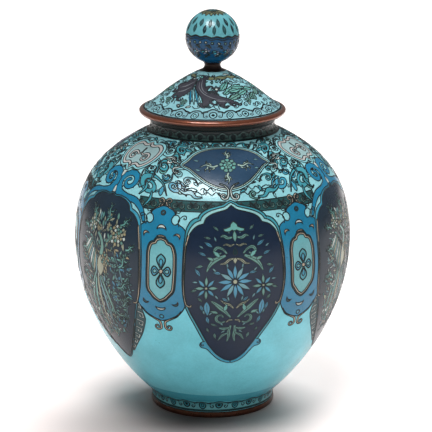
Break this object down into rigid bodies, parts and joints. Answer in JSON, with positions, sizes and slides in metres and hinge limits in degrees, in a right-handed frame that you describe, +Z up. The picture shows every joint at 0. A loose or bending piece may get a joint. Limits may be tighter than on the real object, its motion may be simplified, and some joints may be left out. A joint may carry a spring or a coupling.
{
  "type": "cloisonne ginger jar",
  "caption": "Round-shouldered covered jar in turquoise wired enamel on copper, on a low foot, with a lift-off domed lid topped by a ball finial.",
  "frame": {"origin": "centre of the foot's underside, on the surface that the jar stands on", "axes": "+Z up along the jar's axis; the front of the jar, as the decoration shows it, faces -Y, and +X is to its right"},
  "size_m": [0.1032, 0.1032, 0.15],
  "materials": {
    "enamel_body": "polished wired enamel, mostly turquoise with dark blue panels",
    "enamel_lid": "polished wired enamel, light blue with dark purple-grey plumes",
    "enamel_finial": "polished wired enamel, turquoise above and deep blue below",
    "copper_rims": "toned copper, rubbed brighter along its edge",
    "copper_foot": "darkly toned copper, rubbed at the bottom edge",
    "dark_bronze": "nearly black toned metal"
  },
  "bodies": {
    "root": {"jar_body": "enamel_body", "foot_rim": "copper_foot", "mouth_rim": "copper_rims", "lid": "enamel_lid", "lid_rim": "copper_rims", "finial_stem": "dark_bronze", "finial_ball": "enamel_finial"}
  },
  "joints": []
}
